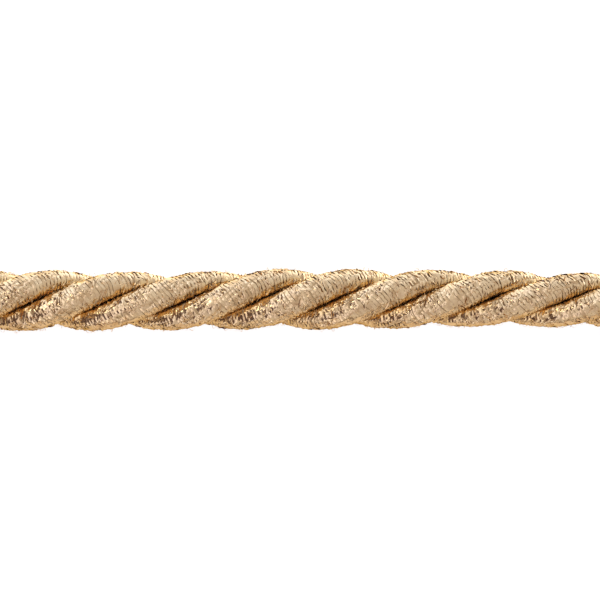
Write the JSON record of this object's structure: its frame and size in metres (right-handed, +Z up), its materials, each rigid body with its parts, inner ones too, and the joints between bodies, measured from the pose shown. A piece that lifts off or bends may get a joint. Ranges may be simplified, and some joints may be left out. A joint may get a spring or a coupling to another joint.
{
  "type": "twisted metallic cord",
  "caption": "Short straight cut length of thick gold cord: strands wound closely with fine metallised thread and laid together in a left-hand twist, both ends cut square.",
  "frame": {"origin": "under the middle of the cord's length, on the surface that it lies on", "axes": "+X along the cord, +Y across it, +Z up from the surface"},
  "size_m": [0.1, 0.0082, 0.008],
  "materials": {
    "metallic_thread": "pale gold metallised thread, wound closely, bright and finely sparkling"
  },
  "bodies": {
    "root": {"strand_1": "metallic_thread", "strand_2": "metallic_thread", "strand_3": "metallic_thread"}
  },
  "joints": []
}
